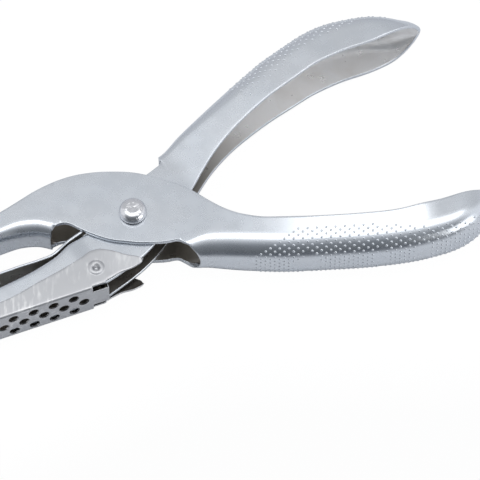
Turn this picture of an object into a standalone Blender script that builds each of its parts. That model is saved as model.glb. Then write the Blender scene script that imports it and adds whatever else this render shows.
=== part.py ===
"""Single-hole plier punch: two pressed-steel levers on one rivet, a punch, a die and a chip tray.

The tool lies on its side. Its origin is on the pivot axis, at the plane it rests on.
+X runs from the jaws to the handles, +Y is the way the jaws open, +Z is up through the tool.
Outlines are in millimetres, measured from the pivot; the meshes are made in metres.
"""
import math

import bmesh
import bpy
import numpy as np
from mathutils import Matrix, Vector

MM = 0.001
MID_Z = 8.0                 # height of the tool's middle plane above the plane it rests on
GAP = 0.3                   # clearance between neighbouring pieces

SHEET = 1.0                 # sheet thickness of both levers
PUNCH_CHEEK = 5.35          # half-width of the punch lever over its pivot cheeks
DIE_CHEEK = 4.05            # half-width of the die lever between those cheeks
DIE_JAW = 4.65              # half-width of the die lever's jaw
GRIP = 8.0                  # half-width of both handles at the grip
TIP_LENGTH = 11.0           # a handle's sides draw in over this length, its height over TIP_CAP
TIP_CAP = 3.0
TIP_BLUNTNESS = 0.55        # below 1 the tip is rounder in plan, at 1 it comes to a point

BEND_ANGLES = (0.0, 30.0, 60.0, 90.0)
LEVER_STATIONS = 38         # sections along a lever before its tip
PUNCH_JAW_U = -44.3         # ends of each lever: the open jaw and the handle's tip
PUNCH_TIP_U = 92.5
DIE_JAW_U = -48.0
DIE_TILT = 38.0             # angle of the die lever's own axis at rest, in degrees
DIE_TIP_U = 93.8

SHANK_R = 2.0
HEAD_R = 3.5
HEAD_FLAT_R = 1.9
BUSHING_R = 3.2
WIRE_R = 0.55
COIL_R = 3.95
COIL_HALF = 2.1
COIL_WHOLE_TURNS = 2
SPRING_FOOT = (36.0, -10.0) # where one leg rests on the punch lever's web
SPRING_HEAD = (20.5, 9.1)   # where the other leg rests, in the die lever's frame

PUNCH_R = 3.0
PUNCH_NECK_R = 2.0
PUNCH_TIP = (-36.4, -18.3)  # centre of the punch's end face at rest
PUNCH_ANGLE = 109.3         # direction of the punch's axis, from its end face to the upper jaw
PUNCH_LENGTH = 9.0          # from the end face to the shoulder under the upper jaw

STRIP_SHEET = 0.6
STRIP_HALF = 4.4
STRIP_HOLE_R = 3.5
DIE_HOLE_R = 3.35
DIE_ENTRY = 4.7             # degrees of squeeze until the punch reaches the die
STRIP_RIVET_U = (-19.0, -14.6)
STRIP_RIVET_R = 0.8
STRIP_RIVET_HEAD_R = 1.4

TRAY_TILT = 20.76           # angle of the tray's floor at rest, in degrees
TRAY_FLOOR = -16.98         # outer face of the tray's floor, in the tray's own frame
TRAY_SHEET = 0.45
TRAY_HALF = 5.4
TRAY_FRONT = -48.8
TRAY_ROUNDING = 3.0         # length of the tray's rounded front
TRAY_REAR = -12.85
TRAY_HINGE = (-8.9, -15.9)
DIMPLE_HOLE_R = 1.9         # holes in the die lever's cheeks that the tray's dimples snap into
TONGUE_HALF = 2.85
LIP_HEIGHT = 2.0
HOLE_R = 1.35
HOLE_PITCH = 5.27
HOLE_FIRST = -21.85         # rearmost hole of the outer rows
HOLE_ROW_Z = 2.95

# Key points (position along the axis, level) of each lever's free edge and web, in its own frame.
PUNCH_EDGE = [(-45.0, -5.2), (-38.5, -2.7), (-33.1, 0.4), (-28.1, 4.0), (-25.1, 6.2), (-20.6, 8.8),
              (-15.6, 10.8), (-10.6, 11.8), (-5.6, 12.1), (-0.6, 11.9), (6.9, 10.0), (14.6, 6.6),
              (19.4, 2.9), (24.4, -0.2), (29.4, -1.7), (34.4, -2.25), (41.9, -2.25), (49.4, -2.0),
              (56.9, -1.45), (66.9, -0.15), (76.9, 2.95), (86.9, 6.4), (92.5, 7.9)]
PUNCH_WEB = [(-45.0, -11.2), (-38.5, -9.1), (-33.1, -7.2), (-28.1, -5.6), (-24.5, -5.2),
             (-20.6, -6.0), (-13.0, -10.0), (-3.0, -13.4), (7.0, -13.4), (17.1, -11.4),
             (29.4, -11.9), (36.9, -12.1), (49.4, -11.5), (61.9, -10.5), (74.4, -8.2),
             (81.9, -5.5), (86.9, -2.5), (92.5, 3.4)]
PUNCH_WIDTH = [(-46.0, PUNCH_CHEEK), (10.0, PUNCH_CHEEK), (14.0, 5.65), (18.0, 6.2), (22.0, 6.7),
               (28.0, 7.1), (45.0, 7.2), (92.0, 7.2)]
PUNCH_BEND = [(-46.0, 2.2), (-38.0, 2.2), (-28.0, 3.3), (0.0, 3.3), (13.0, 3.6), (20.0, 5.2), (92.0, 5.2)]
PUNCH_FLARE = [(-60.0, 0.0), (18.0, 0.0), (27.0, 0.02), (34.0, 0.05), (42.0, 0.11), (50.0, 0.16),
               (71.0, 0.16), (78.0, 0.0), (95.0, 0.0)]

DIE_EDGE = [(-49.0, -1.4), (-34.0, -6.2), (-20.0, -10.5), (-16.0, -11.4), (-9.7, -11.3),
            (-2.5, -10.4), (5.2, -8.1), (16.0, -3.2), (20.8, -0.9), (25.6, 1.2), (33.9, 3.7),
            (41.2, 4.9), (51.3, 5.6), (60.8, 5.6), (69.3, 4.5), (79.8, 1.6), (86.0, 0.6), (93.8, 0.2)]
DIE_WEB = [(-49.0, 6.1), (-38.8, 4.2), (-30.3, 2.9), (-23.2, 2.6), (-17.0, 3.5), (-12.0, 3.6),
           (-8.0, 7.0), (0.0, 10.5), (9.0, 11.0), (15.9, 10.3), (23.7, 12.0), (31.2, 13.3),
           (42.1, 14.9), (49.5, 15.7), (53.6, 16.05), (60.3, 16.0), (66.6, 15.8), (72.4, 14.75),
           (77.4, 12.75), (82.2, 10.3), (86.4, 7.3), (88.7, 5.6), (90.8, 3.9), (93.8, 1.4)]
DIE_WIDTH = [(-50.0, DIE_JAW), (-19.0, DIE_JAW), (-14.0, DIE_CHEEK), (16.5, DIE_CHEEK), (22.0, 4.45),
             (34.0, 5.7), (47.4, 7.0), (57.7, 7.6), (66.0, GRIP), (94.0, GRIP)]
DIE_BEND = [(-50.0, 1.5), (-15.0, 1.5), (0.0, 1.5), (16.0, 2.0), (50.0, 4.5), (94.0, 4.5)]
NO_FLARE = [(-60.0, 0.0), (95.0, 0.0)]

# What the press cuts away around the pivot: outlines of the removed region, in the lever's own frame.
PUNCH_CUT = [(-20.3, -15.0), (-20.3, -6.2), (-20.1, -4.6), (-19.2, -3.5), (-18.0, -3.05), (-17.1, -2.9),
             (-15.6, -3.25), (-12.4, -5.05), (-8.1, -6.9), (-3.1, -8.1), (2.0, -8.6), (6.5, -8.5),
             (11.2, -7.85), (12.4, -8.1), (13.5, -8.9), (15.0, -10.2), (16.6, -11.0), (17.3, -12.5),
             (17.3, -15.0)]
DIE_CUT = [(-11.6, 14.0), (-11.6, 3.6), (-10.9, 3.2), (-9.0, 3.6), (-4.0, 5.2), (0.0, 6.2), (6.0, 7.1),
           (11.4, 7.5), (14.0, 7.8), (15.2, 8.5), (15.7, 9.6), (15.7, 14.0)]

STRIP_LINE = [(-47.0, 10.3), (-36.5, 7.3), (-31.2, 5.8), (-26.2, 4.25), (-22.6, 3.5), (-17.0, 4.4),
              (-11.8, 4.5)]
TRAY_EDGE = [(-49.5, -12.9), (-40.2, -12.6), (-36.0, -12.1), (-28.6, -10.4), (-22.8, -9.2),
             (-17.0, -7.75), (-13.3, -6.6), (-11.3, -6.85), (-9.1, -8.1), (-5.4, -11.2), (-2.0, -13.4)]
TRAY_WEB = [(-50.0, TRAY_FLOOR), (0.0, TRAY_FLOOR)]
TRAY_BEND = [(-50.0, 1.0), (0.0, 1.0)]
TRAY_WIDTH = [(-50.0, TRAY_HALF), (-11.0, TRAY_HALF), (-7.0, 5.7), (-1.5, 6.4)]
TRAY_CUT = [(TRAY_REAR, -20.0), (TRAY_REAR, -15.85), (-9.1, -15.2), (-3.9, -14.8), (-3.0, -14.5),
            (-2.6, -14.0), (-2.7, -13.4), (-3.2, -12.8), (-3.2, -9.0), (0.0, -9.0), (0.0, -20.0)]


# ---------------------------------------------------------------- geometry helpers

def smooth_curve(points):
    """Return a function that passes smoothly through (x, y) key points, level where they are level."""
    xs, ys = np.array(points, dtype=float).T
    steps = np.diff(xs)
    slopes = np.diff(ys) / steps
    inner = (steps[1:] * slopes[:-1] + steps[:-1] * slopes[1:]) / (steps[1:] + steps[:-1])
    steepest = 3.0 * np.minimum(abs(slopes[:-1]), abs(slopes[1:]))
    inner = np.where(slopes[:-1] * slopes[1:] > 0.0, np.clip(inner, -steepest, steepest), 0.0)
    tangents = np.concatenate(([slopes[0]], inner, [slopes[-1]]))

    def value(x):
        i = int(np.clip(np.searchsorted(xs, x) - 1, 0, len(steps) - 1))
        t = (x - xs[i]) / steps[i]
        return float((2 * t**3 - 3 * t**2 + 1) * ys[i] + (t**3 - 2 * t**2 + t) * steps[i] * tangents[i]
                     + (3 * t**2 - 2 * t**3) * ys[i + 1] + (t**3 - t**2) * steps[i] * tangents[i + 1])

    return value


def in_frame(tilt):
    """Return a function that takes (u, n, z) of a frame tilted about the pivot to world metres."""
    cos, sin = math.cos(math.radians(tilt)), math.sin(math.radians(tilt))

    def place(u, n, z):
        return Vector((u * cos - n * sin, u * sin + n * cos, z + MID_Z)) * MM

    return place


PUNCH_FRAME = in_frame(0.0)
DIE_FRAME = in_frame(DIE_TILT)
TRAY_FRAME = in_frame(TRAY_TILT)


def turned(point, degrees):
    """Turn an (x, y) point about the pivot."""
    angle = math.radians(degrees)
    x, y = point
    return (x * math.cos(angle) - y * math.sin(angle), x * math.sin(angle) + y * math.cos(angle))


def new_object(name, bm, cutter=False):
    """Link a bmesh as a named object, shaded smooth with sharp sheet edges."""
    bmesh.ops.recalc_face_normals(bm, faces=bm.faces)
    mesh = bpy.data.meshes.new(name)
    bm.to_mesh(mesh)
    bm.free()
    obj = bpy.data.objects.new(name, mesh)
    bpy.context.collection.objects.link(obj)
    if cutter:
        obj.hide_render = True
        obj.display_type = "WIRE"
    else:
        mesh.shade_smooth()
        mesh.set_sharp_from_angle(angle=math.radians(35))
    return obj


def channel(name, place, lines, sheet, stations, tip, tip_length=TIP_LENGTH):
    """Make a U-section stamping: two cheeks from the free edge to the web, with bent corners.

    lines holds the key points of the free edge, the web, the half-width, the bend's radius and the flare:
    how far a cheek leans out towards its free edge, per millimetre. Each station is a position along the
    axis. The channel closes at its tip like a boat's bow.
    """
    edge, web, width, bend, flare = (smooth_curve(points) for points in lines)
    side = 1.0 if web(stations[0]) > edge(stations[0]) else -1.0
    direction = 1.0 if tip > stations[0] else -1.0

    def section(u, inset):
        left = max((tip - u) * direction - inset, 0.0)
        pinch = math.sin(min(left / (tip_length - inset), 1.0) * math.pi / 2) ** TIP_BLUNTNESS
        cap = math.sqrt(1.0 - (1.0 - min(left / (TIP_CAP - inset), 1.0)) ** 2)
        level = edge(u)
        height = ((web(u) - level) * side - inset) * cap
        half = (width(u) - inset) * pinch
        radius = min(max(bend(u) - inset, 0.3), 0.9 * half, 0.9 * height)
        arc = [(height - radius + radius * math.sin(a), half - radius + radius * math.cos(a))
               for a in np.radians(BEND_ANGLES)]
        near = [(0.0, half + flare(u) * (height - radius))] + arc
        return [place(u, level + side * h, z) for h, z in near + [(h, -z) for h, z in reversed(near)]]

    def inner_station(u):
        if (tip - u) * direction > tip_length:
            return u
        share = (tip - u) * direction / tip_length
        return tip - direction * (sheet + share * (tip_length - sheet))

    bm = bmesh.new()
    outer = [[bm.verts.new(p) for p in section(u, 0.0)] for u in stations]
    inner = [[bm.verts.new(p) for p in section(inner_station(u), sheet)] for u in stations]
    columns = len(outer[0])
    for grid in (outer, inner):
        for row, following in zip(grid, grid[1:]):
            for j in range(columns - 1):
                bm.faces.new((row[j], row[j + 1], following[j + 1], following[j]))
    for i in range(len(stations) - 1):
        for j in (0, columns - 1):
            bm.faces.new((outer[i][j], outer[i + 1][j], inner[i + 1][j], inner[i][j]))
    for j in range(columns - 1):
        bm.faces.new((outer[0][j], outer[0][j + 1], inner[0][j + 1], inner[0][j]))
    bm.faces.new(outer[-1])
    bm.faces.new([outer[-1][0]] + inner[-1] + [outer[-1][-1]])
    return new_object(name, bm)


def stations_to_tip(start, tip, count, tip_length=TIP_LENGTH, tip_steps=8):
    """Even stations along the axis, then closer ones round the tip."""
    direction = 1.0 if tip > start else -1.0
    body = np.linspace(start, tip - direction * tip_length, count)
    turns = np.radians(np.linspace(0.0, 80.0, tip_steps + 1))[1:]
    return [float(u) for u in body] + [tip - direction * tip_length * (1.0 - math.sin(a)) for a in turns]


def prism(name, place, outline, low, high, cutter=False):
    """Extrude a closed outline through the tool's thickness."""
    bm = bmesh.new()
    bottom = [bm.verts.new(place(u, n, low)) for u, n in outline]
    top = [bm.verts.new(place(u, n, high)) for u, n in outline]
    bm.faces.new(bottom)
    bm.faces.new(top)
    for i in range(len(outline)):
        k = (i + 1) % len(outline)
        bm.faces.new((bottom[i], bottom[k], top[k], top[i]))
    return new_object(name, bm, cutter)


def revolved(name, matrix, profile, segments, cutter=False):
    """Turn an (r, h) profile about the local Z axis. Points with r = 0 close it."""
    bm = bmesh.new()
    rings = []
    for r, h in profile:
        if r == 0.0:
            rings.append([bm.verts.new(matrix @ Vector((0, 0, h * MM)))])
            continue
        angles = [2 * math.pi * k / segments for k in range(segments)]
        rings.append([bm.verts.new(matrix @ (Vector((r * math.cos(a), r * math.sin(a), h)) * MM))
                      for a in angles])
    closed = profile[0][0] > 0.0
    pairs = list(zip(rings, rings[1:])) + ([(rings[-1], rings[0])] if closed else [])
    for a, b in pairs:
        for k in range(segments):
            m = (k + 1) % segments
            corners = [a[k % len(a)], a[m % len(a)], b[m % len(b)], b[k % len(b)]]
            bm.faces.new(list(dict.fromkeys(corners)))
    return new_object(name, bm, cutter)


def boolean(obj, tool, operation="DIFFERENCE"):
    """Cut or join with another object, which stays out of the model."""
    modifier = obj.modifiers.new(tool.name, "BOOLEAN")
    modifier.operation = operation
    modifier.object = tool
    modifier.solver = "EXACT"


def round_cutter(name, matrix, radius, low, high, segments=16):
    return revolved(name, matrix, [(0.0, low), (radius, low), (radius, high), (0.0, high)], segments, True)


def axis_matrix(origin, direction):
    """Place a local Z axis at a world point in metres, along a direction."""
    turn = Vector(direction).to_track_quat("Z", "Y").to_matrix().to_4x4()
    return Matrix.Translation(origin) @ turn


def steel(name, color, roughness):
    material = bpy.data.materials.new(name)
    material.use_nodes = True
    shader = material.node_tree.nodes["Principled BSDF"]
    shader.inputs["Base Color"].default_value = (*color, 1.0)
    shader.inputs["Metallic"].default_value = 1.0
    shader.inputs["Roughness"].default_value = roughness
    return material


# ---------------------------------------------------------------- pieces

PIVOT = axis_matrix(Vector((0, 0, MID_Z)) * MM, (0, 0, 1))
PUNCH_DIRECTION = Vector((math.cos(math.radians(PUNCH_ANGLE)), math.sin(math.radians(PUNCH_ANGLE)), 0.0))
DIE_CENTRE = turned(PUNCH_TIP, DIE_ENTRY)


def level_at(line, point, tilt):
    """Position and level on a line of a tilted frame, straight below or above a world point."""
    u, _ = turned(point, -tilt)
    return u, line(u)


def make_punch_lever():
    lines = (PUNCH_EDGE, PUNCH_WEB, PUNCH_WIDTH, PUNCH_BEND, PUNCH_FLARE)
    stations = stations_to_tip(PUNCH_JAW_U, PUNCH_TIP_U, LEVER_STATIONS)
    lever = channel("punch_lever", PUNCH_FRAME, lines, SHEET, stations, PUNCH_TIP_U)
    boolean(lever, prism("cut_punch_pivot", PUNCH_FRAME, PUNCH_CUT, -12.0, 12.0, True))
    boolean(lever, round_cutter("cut_punch_rivet", PIVOT, SHANK_R + GAP, -12.0, 12.0))
    seat = axis_matrix(PUNCH_FRAME(*PUNCH_TIP, 0.0), PUNCH_DIRECTION)
    boolean(lever, round_cutter("cut_punch_seat", seat, PUNCH_NECK_R + GAP, 6.0, 13.0))
    return lever


def make_die_lever():
    lines = (DIE_EDGE, DIE_WEB, DIE_WIDTH, DIE_BEND, NO_FLARE)
    stations = stations_to_tip(DIE_JAW_U, DIE_TIP_U, LEVER_STATIONS)
    lever = channel("die_lever", DIE_FRAME, lines, SHEET, stations, DIE_TIP_U)
    boolean(lever, prism("cut_die_pivot", DIE_FRAME, DIE_CUT, -12.0, 12.0, True))
    boolean(lever, round_cutter("cut_die_rivet", PIVOT, SHANK_R + GAP, -12.0, 12.0))
    hinge = axis_matrix(Vector((*TRAY_HINGE, MID_Z)) * MM, (0, 0, 1))
    boolean(lever, round_cutter("cut_die_dimples", hinge, DIMPLE_HOLE_R, -12.0, 12.0, 12))
    boolean(lever, round_cutter("cut_die_hole", die_axis(), DIE_HOLE_R, -3.0, 3.0))
    for i, u in enumerate(STRIP_RIVET_U):
        axis = strip_rivet_axis(u)
        boolean(lever, round_cutter(f"cut_die_strip_rivet_{i}", axis, STRIP_RIVET_R + GAP, -3.0, 3.0, 10))
    return lever


def die_axis():
    """Axis of the die hole, square to the lower jaw's web, from its outer face."""
    web = smooth_curve(DIE_WEB)
    u, n = level_at(web, DIE_CENTRE, DIE_TILT)
    slope = math.atan(web(u + 0.5) - web(u - 0.5))
    normal = math.radians(DIE_TILT) + slope + math.pi / 2
    return axis_matrix(DIE_FRAME(u, n, 0.0), (math.cos(normal), math.sin(normal), 0.0))


def strip_rivet_axis(u):
    web = smooth_curve(DIE_WEB)
    slope = math.atan(web(u + 0.5) - web(u - 0.5))
    normal = math.radians(DIE_TILT) + slope + math.pi / 2
    return axis_matrix(DIE_FRAME(u, web(u), 0.0), (math.cos(normal), math.sin(normal), 0.0))


def make_pivot_rivet():
    seat = PUNCH_CHEEK + GAP
    crown = [(0.0, GRIP), (HEAD_FLAT_R, GRIP), (2.75, 7.5), (3.3, 6.7), (HEAD_R, 6.0), (HEAD_R, seat)]
    half = crown + [(SHANK_R, seat)]
    profile = half + [(r, -h) for r, h in reversed(half)]
    return revolved("pivot_rivet", PIVOT, profile, 24)


def make_pivot_bushing():
    half = DIE_CHEEK - SHEET - GAP
    inner, outer = SHANK_R + GAP, BUSHING_R
    profile = [(inner, -half), (outer, -half), (outer, half), (inner, half)]
    return revolved("pivot_bushing", PIVOT, profile, 20)


def make_return_spring():
    """Torsion spring: two tangent legs joined by a helix round the bushing."""
    head = turned(SPRING_HEAD, DIE_TILT)

    def tangent(point, sense):
        reach = math.hypot(*point)
        return math.atan2(point[1], point[0]) + sense * math.acos(COIL_R / reach)

    start, end = tangent(SPRING_FOOT, -1.0), tangent(head, 1.0)
    sweep = (start - end) % (2 * math.pi) + 2 * math.pi * COIL_WHOLE_TURNS
    count = 34
    path = [(*SPRING_FOOT, COIL_HALF)]
    for k in range(count + 1):
        angle = start - sweep * k / count
        z = COIL_HALF - 2 * COIL_HALF * k / count
        path.append((COIL_R * math.cos(angle), COIL_R * math.sin(angle), z))
    path.append((*head, -COIL_HALF))

    curve = bpy.data.curves.new("return_spring", "CURVE")
    curve.dimensions = "3D"
    curve.bevel_depth = WIRE_R * MM
    curve.bevel_resolution = 1
    curve.use_fill_caps = True
    spline = curve.splines.new("POLY")
    spline.points.add(len(path) - 1)
    for point, (x, y, z) in zip(spline.points, path):
        point.co = (x * MM, y * MM, (z + MID_Z) * MM, 1.0)
    obj = bpy.data.objects.new("return_spring", curve)
    bpy.context.collection.objects.link(obj)
    return obj


def make_punch_pin():
    """Punch with a hollow-ground end, a neck through the upper jaw's web and a riveted head."""
    axis = axis_matrix(PUNCH_FRAME(*PUNCH_TIP, 0.0), PUNCH_DIRECTION)
    neck_top = PUNCH_LENGTH + SHEET + 2 * GAP + 0.45
    profile = [(0.0, 0.7), (PUNCH_R - 0.2, 0.0), (PUNCH_R, 0.15), (PUNCH_R, PUNCH_LENGTH - 0.5),
               (PUNCH_NECK_R, PUNCH_LENGTH - 0.45), (PUNCH_NECK_R, neck_top), (PUNCH_R, neck_top),
               (PUNCH_R - 0.4, neck_top + 0.8), (0.0, neck_top + 1.0)]
    return revolved("punch_pin", axis, profile, 20)


def strip_ribbon(name, line, thickness, half, start, end, count):
    """Make a bent strip: its lower face follows a line of the die lever's frame."""
    bm = bmesh.new()
    rows = []
    for u in np.linspace(start, end, count):
        slope = math.atan(line(u + 0.05) * 10 - line(u - 0.05) * 10)
        rise = (-math.sin(slope) * thickness, math.cos(slope) * thickness)
        low, high = (u, line(u)), (u + rise[0], line(u) + rise[1])
        corners = [(low, half), (low, -half), (high, -half), (high, half)]
        rows.append([bm.verts.new(DIE_FRAME(*p, z)) for p, z in corners])
    for row, following in zip(rows, rows[1:]):
        for j in range(4):
            k = (j + 1) % 4
            bm.faces.new((row[j], row[k], following[k], following[j]))
    bm.faces.new(rows[0])
    bm.faces.new(rows[-1])
    return new_object(name, bm)


def make_stripper_plate():
    line = smooth_curve(STRIP_LINE)
    lower = [(u, line(u) - STRIP_SHEET) for u, _ in STRIP_LINE]
    strip = strip_ribbon("stripper_plate", smooth_curve(lower), STRIP_SHEET, STRIP_HALF, -45.0, -12.9, 24)
    rear = [(-21.5, -9.0), (-11.0, -9.0), (-11.0, -DIE_CHEEK), (-18.0, -DIE_CHEEK)]
    for sign, label in ((1.0, "near"), (-1.0, "far")):
        bm = bmesh.new()
        low = [bm.verts.new(DIE_FRAME(u, 0.0, -sign * z)) for u, z in rear]
        high = [bm.verts.new(DIE_FRAME(u, 9.0, -sign * z)) for u, z in rear]
        bm.faces.new(low)
        bm.faces.new(high)
        for i in range(4):
            k = (i + 1) % 4
            bm.faces.new((low[i], low[k], high[k], high[i]))
        boolean(strip, new_object(f"cut_strip_{label}", bm, True))
    punch = axis_matrix(PUNCH_FRAME(*PUNCH_TIP, 0.0), PUNCH_DIRECTION)
    boolean(strip, round_cutter("cut_strip_hole", punch, STRIP_HOLE_R, -3.0, 3.0))
    for i, u in enumerate(STRIP_RIVET_U):
        axis = strip_rivet_axis(u)
        boolean(strip, round_cutter(f"cut_strip_rivet_{i}", axis, STRIP_RIVET_R + GAP, -3.0, 3.0, 10))
    return strip


def make_strip_rivet(name, u):
    """Rivet through the strip and the lower jaw's web, with a head on both sides."""
    top = STRIP_SHEET + 2 * GAP + 0.15
    bottom = -SHEET - GAP
    profile = [(0.0, top + 0.5), (0.9, top + 0.45), (STRIP_RIVET_HEAD_R, top), (STRIP_RIVET_R, top),
               (STRIP_RIVET_R, bottom), (STRIP_RIVET_HEAD_R, bottom), (1.1, bottom - 0.5), (0.0, bottom - 0.6)]
    return revolved(name, strip_rivet_axis(u), profile, 12)


def make_chip_tray():
    lines = (TRAY_EDGE, TRAY_WEB, TRAY_WIDTH, TRAY_BEND, NO_FLARE)
    stations = stations_to_tip(-2.0, TRAY_FRONT, 24, TRAY_ROUNDING, 5)
    tray = channel("chip_tray", TRAY_FRAME, lines, TRAY_SHEET, stations, TRAY_FRONT, TRAY_ROUNDING)
    boolean(tray, prism("cut_tray_rear", TRAY_FRAME, TRAY_CUT, -12.0, 12.0, True))
    notch = [(-16.7, -18.0), (-16.7, -16.0), (TRAY_REAR + 1.0, -16.0), (TRAY_REAR + 1.0, -18.0)]
    boolean(tray, prism("cut_tray_notch_near", TRAY_FRAME, notch, TONGUE_HALF, 9.0, True))
    boolean(tray, prism("cut_tray_notch_far", TRAY_FRAME, notch, -9.0, -TONGUE_HALF, True))
    lip_top = TRAY_FLOOR + LIP_HEIGHT
    lip = [(TRAY_REAR - 0.7, TRAY_FLOOR), (TRAY_REAR, TRAY_FLOOR), (TRAY_REAR + 0.3, lip_top),
           (TRAY_REAR - 0.2, lip_top), (TRAY_REAR - 0.6, TRAY_FLOOR + TRAY_SHEET)]
    boolean(tray, prism("join_tray_lip", TRAY_FRAME, lip, -TONGUE_HALF + 0.1, TONGUE_HALF - 0.1, True), "UNION")

    wall = TRAY_HALF
    dimple = [(0.0, wall - 0.25), (0.6, wall - 0.1), (1.1, wall + 0.3), (1.6, wall + 0.3), (2.1, wall - 0.1),
              (1.6, wall - 0.2), (1.5, 3.5), (1.1, 3.2), (0.0, 3.2)]
    for label, sign in (("near", 1.0), ("far", -1.0)):
        hinge = axis_matrix(Vector((*TRAY_HINGE, MID_Z)) * MM, (0, 0, sign))
        boolean(tray, revolved(f"join_dimple_{label}", hinge, dimple, 16, True), "UNION")

    up = TRAY_FRAME(0.0, 1.0, 0.0) - TRAY_FRAME(0.0, 0.0, 0.0)
    for row, z in ((0, HOLE_ROW_Z), (1, 0.0), (0, -HOLE_ROW_Z)):
        first = HOLE_FIRST + row * HOLE_PITCH / 2
        for k in range(5 + row):
            centre = TRAY_FRAME(first - k * HOLE_PITCH, TRAY_FLOOR, z)
            name = f"cut_hole_{z:+.0f}_{k}"
            boolean(tray, round_cutter(name, axis_matrix(centre, up), HOLE_R, -1.0, 1.5, 10))
    return tray


def main():
    for obj in list(bpy.data.objects):
        bpy.data.objects.remove(obj, do_unlink=True)
    plated = steel("plated_steel", (0.72, 0.74, 0.77), 0.28)
    tool = steel("tool_steel", (0.55, 0.56, 0.58), 0.3)
    tray = steel("satin_plate", (0.76, 0.77, 0.82), 0.38)
    pieces = [(make_punch_lever(), plated), (make_die_lever(), plated), (make_pivot_rivet(), plated),
              (make_pivot_bushing(), tool), (make_return_spring(), tool), (make_punch_pin(), tool),
              (make_stripper_plate(), plated), (make_chip_tray(), tray)]
    for name, u in zip(("stripper_rivet_front", "stripper_rivet_rear"), STRIP_RIVET_U):
        pieces.append((make_strip_rivet(name, u), plated))
    for obj, material in pieces:
        obj.data.materials.append(material)


main()
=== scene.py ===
"""Looks of the single-hole plier punch: fine pressed-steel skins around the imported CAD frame."""
import math

import bmesh
import bpy
import numpy as np
from mathutils import Matrix, Vector, noise
from mathutils.kdtree import KDTree


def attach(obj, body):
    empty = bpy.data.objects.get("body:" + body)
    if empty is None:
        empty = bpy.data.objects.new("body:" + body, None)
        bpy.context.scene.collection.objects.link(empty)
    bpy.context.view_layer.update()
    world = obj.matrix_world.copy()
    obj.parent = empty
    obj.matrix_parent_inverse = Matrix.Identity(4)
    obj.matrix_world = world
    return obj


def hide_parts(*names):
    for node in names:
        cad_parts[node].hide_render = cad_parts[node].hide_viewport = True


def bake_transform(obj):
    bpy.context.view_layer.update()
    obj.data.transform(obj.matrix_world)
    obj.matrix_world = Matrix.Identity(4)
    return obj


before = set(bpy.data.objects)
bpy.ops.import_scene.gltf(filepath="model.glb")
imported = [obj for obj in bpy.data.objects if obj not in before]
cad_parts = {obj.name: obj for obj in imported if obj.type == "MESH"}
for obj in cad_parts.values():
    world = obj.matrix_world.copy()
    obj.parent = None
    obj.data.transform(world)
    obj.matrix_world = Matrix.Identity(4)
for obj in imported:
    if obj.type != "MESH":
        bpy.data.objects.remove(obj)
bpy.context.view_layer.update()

MM = 0.001
MID_Z = 8.0                 # height of the tool's middle plane, in millimetres
SIDES = ("outer_side", "inner_side")    # stand-ins that keep a sheet's two material slots apart
PUNCH, DIE, TRAY = "punch_body", "die_body", "tray_body"

SHEET = 1.0
PUNCH_SHEET = 1.2           # its inner faces stay 0.1 mm clear of the die lever's cheeks
EDGE_ROUND = 0.22           # rounding of the sheet's cut edges
PUNCH_CHEEK = 5.35
DIE_CHEEK = 4.05
DIE_JAW = 4.65
GRIP = 8.0
TIP_LENGTH = 11.0           # a grip's sides draw in over this length, its height over TIP_CAP
TIP_CAP = 3.0
TIP_BLUNTNESS = 0.55
PUNCH_TIP_U = 92.5
DIE_TIP_U = 93.8
DIE_TILT = 38.0

RIVET_SEAT = 5.65           # height of a rivet head's seat above the middle plane
SHANK_R = 2.0
BUSHING_R = 3.2
WIRE_R = 0.55
COIL_R = 3.95
COIL_HALF = 2.1
COIL_WHOLE_TURNS = 2
SPRING_FOOT = (36.0, -10.0)     # where the spring's leg rests on the punch lever's web
SPRING_HEAD = (20.5, 9.1)       # where the other leg rests, in the die lever's frame

PUNCH_R = 3.0
PUNCH_NECK_R = 2.0
PUNCH_TIP = (-36.4, -18.3)
PUNCH_ANGLE = 109.3
PUNCH_LENGTH = 9.0
DIE_HOLE_R = 3.35
DIE_ENTRY = 4.7

STRIP_SHEET = 0.6
STRIP_HALF = 4.4
STRIP_HOLE_R = 3.5
STRIP_RIVET_U = (-19.0, -14.6)
STRIP_RIVET_R = 0.8

TRAY_TILT = 20.76
TRAY_FLOOR = -16.98
TRAY_SHEET = 0.45
TRAY_HALF = 5.4
TRAY_FRONT = -48.8
TRAY_REAR = -12.85
TRAY_HINGE = (-8.9, -15.9)
TONGUE_HALF = 2.85
NOTCH_FRONT = -16.7
LIP_HEIGHT = 2.0
HOLE_R = 1.35
HOLE_PITCH = 5.27
HOLE_FIRST = -21.85
HOLE_ROW_Z = 2.95

PUNCH_EDGE = [(-45.0, -5.2), (-38.5, -2.7), (-33.1, 0.4), (-28.1, 4.0), (-25.1, 6.2), (-20.6, 8.8),
              (-15.6, 10.8), (-10.6, 11.8), (-5.6, 12.1), (-0.6, 11.9), (6.9, 10.0), (14.6, 6.6),
              (19.4, 2.9), (24.4, -0.2), (29.4, -1.7), (34.4, -2.25), (41.9, -2.25), (49.4, -2.0),
              (56.9, -1.45), (66.9, -0.15), (76.9, 2.95), (86.9, 6.4), (92.5, 7.9)]
PUNCH_WEB = [(-45.0, -11.2), (-38.5, -9.1), (-33.1, -7.2), (-28.1, -5.6), (-24.5, -5.2),
             (-20.6, -6.0), (-13.0, -10.0), (-3.0, -13.4), (7.0, -13.4), (17.1, -11.4),
             (29.4, -11.9), (36.9, -12.1), (49.4, -11.5), (61.9, -10.5), (74.4, -8.2),
             (81.9, -5.5), (86.9, -2.5), (92.5, 3.4)]
PUNCH_WIDTH = [(-46.0, PUNCH_CHEEK), (10.0, PUNCH_CHEEK), (14.0, 5.65), (18.0, 6.2), (22.0, 6.7),
               (28.0, 7.1), (45.0, 7.2), (92.0, 7.2)]
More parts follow.
